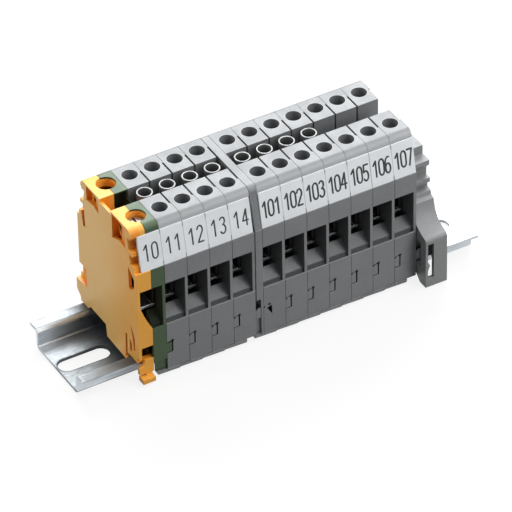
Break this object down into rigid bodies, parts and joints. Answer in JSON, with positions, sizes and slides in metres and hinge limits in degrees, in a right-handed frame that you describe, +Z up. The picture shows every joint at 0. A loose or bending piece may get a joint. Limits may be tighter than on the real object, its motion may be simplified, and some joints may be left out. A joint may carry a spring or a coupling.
{
  "type": "terminal block strip",
  "caption": "Strip of screw terminals on a slotted top-hat rail: a two-colour ground terminal, two groups of grey terminals with a cover between, tags and an end bracket.",
  "frame": {"origin": "middle of the rail's flat underside", "axes": "+X along the rail towards the end bracket, -Y the side with the tags, +Z up, away from the panel"},
  "size_m": [0.144, 0.0459, 0.058],
  "materials": {
    "zinc_steel": "bright zinc plated",
    "yellow_plastic": "moulded, matt",
    "green_plastic": "moulded, matt",
    "grey_plastic": "moulded, matt",
    "bracket_plastic": "moulded, matt",
    "plated_steel": "zinc plated",
    "white_tag": "satin",
    "nickel_brass": "tin plated",
    "sleeve_metal": "bright",
    "screw_metal": "zinc plated"
  },
  "bodies": {
    "strip": {"rail": "zinc_steel", "ground_yellow_shell": "yellow_plastic", "ground_green_shell": "green_plastic", "end_cover": "grey_plastic", "ground_rail_clamp": "plated_steel", "tags_a": "white_tag", "tags_b": "white_tag", "tags_c": "white_tag", "bridge_bar_a": "nickel_brass", "bridge_bar_b": "nickel_brass", "bridge_sleeves": "sleeve_metal", "current_bars": "nickel_brass", "clamp_cages": "plated_steel", "housing_01": "grey_plastic", "housing_02": "grey_plastic", "housing_03": "grey_plastic", "housing_04": "grey_plastic", "housing_05": "grey_plastic", "housing_06": "grey_plastic", "housing_07": "grey_plastic", "housing_08": "grey_plastic", "housing_09": "grey_plastic", "housing_10": "grey_plastic", "housing_11": "grey_plastic"},
    "end_bracket": {"end_bracket": "bracket_plastic"},
    "screw_front_00": {"screw_front_00": "screw_metal"},
    "screw_front_01": {"screw_front_01": "screw_metal"},
    "screw_front_02": {"screw_front_02": "screw_metal"},
    "screw_front_03": {"screw_front_03": "screw_metal"},
    "screw_front_04": {"screw_front_04": "screw_metal"},
    "screw_front_05": {"screw_front_05": "screw_metal"},
    "screw_front_06": {"screw_front_06": "screw_metal"},
    "screw_front_07": {"screw_front_07": "screw_metal"},
    "screw_front_08": {"screw_front_08": "screw_metal"},
    "screw_front_09": {"screw_front_09": "screw_metal"},
    "screw_front_10": {"screw_front_10": "screw_metal"},
    "screw_front_11": {"screw_front_11": "screw_metal"},
    "screw_back_00": {"screw_back_00": "screw_metal"},
    "screw_back_01": {"screw_back_01": "screw_metal"},
    "screw_back_02": {"screw_back_02": "screw_metal"},
    "screw_back_03": {"screw_back_03": "screw_metal"},
    "screw_back_04": {"screw_back_04": "screw_metal"},
    "screw_back_05": {"screw_back_05": "screw_metal"},
    "screw_back_06": {"screw_back_06": "screw_metal"},
    "screw_back_07": {"screw_back_07": "screw_metal"},
    "screw_back_08": {"screw_back_08": "screw_metal"},
    "screw_back_09": {"screw_back_09": "screw_metal"},
    "screw_back_10": {"screw_back_10": "screw_metal"},
    "screw_back_11": {"screw_back_11": "screw_metal"},
    "bridge_screw_1": {"bridge_screw_1": "screw_metal"},
    "bridge_screw_2": {"bridge_screw_2": "screw_metal"},
    "bridge_screw_3": {"bridge_screw_3": "screw_metal"},
    "bridge_screw_4": {"bridge_screw_4": "screw_metal"},
    "bridge_screw_5": {"bridge_screw_5": "screw_metal"},
    "bridge_screw_6": {"bridge_screw_6": "screw_metal"},
    "bridge_screw_7": {"bridge_screw_7": "screw_metal"},
    "bridge_screw_8": {"bridge_screw_8": "screw_metal"}
  },
  "joints": [
    {"name": "bracket_slide", "type": "slide", "parent": "strip", "child": "end_bracket", "axis": [1, 0, 0], "range_m": [0, 0.0158]},
    {"name": "turn_front_00", "type": "hinge", "parent": "strip", "child": "screw_front_00", "pos_m": [-0.0473, -0.0095, 0.04], "axis": [0, 0, 1], "continuous": true},
    {"name": "turn_front_01", "type": "hinge", "parent": "strip", "child": "screw_front_01", "pos_m": [-0.0389, -0.0095, 0.04], "axis": [0, 0, 1], "continuous": true},
    {"name": "turn_front_02", "type": "hinge", "parent": "strip", "child": "screw_front_02", "pos_m": [-0.0309, -0.0095, 0.04], "axis": [0, 0, 1], "continuous": true},
    {"name": "turn_front_03", "type": "hinge", "parent": "strip", "child": "screw_front_03", "pos_m": [-0.0229, -0.0095, 0.04], "axis": [0, 0, 1], "continuous": true},
    {"name": "turn_front_04", "type": "hinge", "parent": "strip", "child": "screw_front_04", "pos_m": [-0.0149, -0.0095, 0.04], "axis": [0, 0, 1], "continuous": true},
    {"name": "turn_front_05", "type": "hinge", "parent": "strip", "child": "screw_front_05", "pos_m": [-0.0041, -0.0095, 0.04], "axis": [0, 0, 1], "continuous": true},
    {"name": "turn_front_06", "type": "hinge", "parent": "strip", "child": "screw_front_06", "pos_m": [0.0039, -0.0095, 0.04], "axis": [0, 0, 1], "continuous": true},
    {"name": "turn_front_07", "type": "hinge", "parent": "strip", "child": "screw_front_07", "pos_m": [0.0119, -0.0095, 0.04], "axis": [0, 0, 1], "continuous": true},
    {"name": "turn_front_08", "type": "hinge", "parent": "strip", "child": "screw_front_08", "pos_m": [0.0199, -0.0095, 0.04], "axis": [0, 0, 1], "continuous": true},
    {"name": "turn_front_09", "type": "hinge", "parent": "strip", "child": "screw_front_09", "pos_m": [0.0279, -0.0095, 0.04], "axis": [0, 0, 1], "continuous": true},
    {"name": "turn_front_10", "type": "hinge", "parent": "strip", "child": "screw_front_10", "pos_m": [0.0359, -0.0095, 0.04], "axis": [0, 0, 1], "continuous": true},
    {"name": "turn_front_11", "type": "hinge", "parent": "strip", "child": "screw_front_11", "pos_m": [0.0439, -0.0095, 0.04], "axis": [0, 0, 1], "continuous": true},
    {"name": "turn_back_00", "type": "hinge", "parent": "strip", "child": "screw_back_00", "pos_m": [-0.0473, 0.0095, 0.04], "axis": [0, 0, 1], "continuous": true},
    {"name": "turn_back_01", "type": "hinge", "parent": "strip", "child": "screw_back_01", "pos_m": [-0.0389, 0.0095, 0.04], "axis": [0, 0, 1], "continuous": true},
    {"name": "turn_back_02", "type": "hinge", "parent": "strip", "child": "screw_back_02", "pos_m": [-0.0309, 0.0095, 0.04], "axis": [0, 0, 1], "continuous": true},
    {"name": "turn_back_03", "type": "hinge", "parent": "strip", "child": "screw_back_03", "pos_m": [-0.0229, 0.0095, 0.04], "axis": [0, 0, 1], "continuous": true},
    {"name": "turn_back_04", "type": "hinge", "parent": "strip", "child": "screw_back_04", "pos_m": [-0.0149, 0.0095, 0.04], "axis": [0, 0, 1], "continuous": true},
    {"name": "turn_back_05", "type": "hinge", "parent": "strip", "child": "screw_back_05", "pos_m": [-0.0041, 0.0095, 0.04], "axis": [0, 0, 1], "continuous": true},
    {"name": "turn_back_06", "type": "hinge", "parent": "strip", "child": "screw_back_06", "pos_m": [0.0039, 0.0095, 0.04], "axis": [0, 0, 1], "continuous": true},
    {"name": "turn_back_07", "type": "hinge", "parent": "strip", "child": "screw_back_07", "pos_m": [0.0119, 0.0095, 0.04], "axis": [0, 0, 1], "continuous": true},
    {"name": "turn_back_08", "type": "hinge", "parent": "strip", "child": "screw_back_08", "pos_m": [0.0199, 0.0095, 0.04], "axis": [0, 0, 1], "continuous": true},
    {"name": "turn_back_09", "type": "hinge", "parent": "strip", "child": "screw_back_09", "pos_m": [0.0279, 0.0095, 0.04], "axis": [0, 0, 1], "continuous": true},
    {"name": "turn_back_10", "type": "hinge", "parent": "strip", "child": "screw_back_10", "pos_m": [0.0359, 0.0095, 0.04], "axis": [0, 0, 1], "continuous": true},
    {"name": "turn_back_11", "type": "hinge", "parent": "strip", "child": "screw_back_11", "pos_m": [0.0439, 0.0095, 0.04], "axis": [0, 0, 1], "continuous": true},
    {"name": "turn_bridge_1", "type": "hinge", "parent": "strip", "child": "bridge_screw_1", "pos_m": [-0.0389, 0, 0.044], "axis": [0, 0, 1], "continuous": true},
    {"name": "turn_bridge_2", "type": "hinge", "parent": "strip", "child": "bridge_screw_2", "pos_m": [-0.0309, 0, 0.044], "axis": [0, 0, 1], "continuous": true},
    {"name": "turn_bridge_3", "type": "hinge", "parent": "strip", "child": "bridge_screw_3", "pos_m": [-0.0229, 0, 0.044], "axis": [0, 0, 1], "continuous": true},
    {"name": "turn_bridge_4", "type": "hinge", "parent": "strip", "child": "bridge_screw_4", "pos_m": [-0.0149, 0, 0.044], "axis": [0, 0, 1], "continuous": true},
    {"name": "turn_bridge_5", "type": "hinge", "parent": "strip", "child": "bridge_screw_5", "pos_m": [-0.0041, 0, 0.044], "axis": [0, 0, 1], "continuous": true},
    {"name": "turn_bridge_6", "type": "hinge", "parent": "strip", "child": "bridge_screw_6", "pos_m": [0.0039, 0, 0.044], "axis": [0, 0, 1], "continuous": true},
    {"name": "turn_bridge_7", "type": "hinge", "parent": "strip", "child": "bridge_screw_7", "pos_m": [0.0119, 0, 0.044], "axis": [0, 0, 1], "continuous": true},
    {"name": "turn_bridge_8", "type": "hinge", "parent": "strip", "child": "bridge_screw_8", "pos_m": [0.0199, 0, 0.044], "axis": [0, 0, 1], "continuous": true}
  ]
}
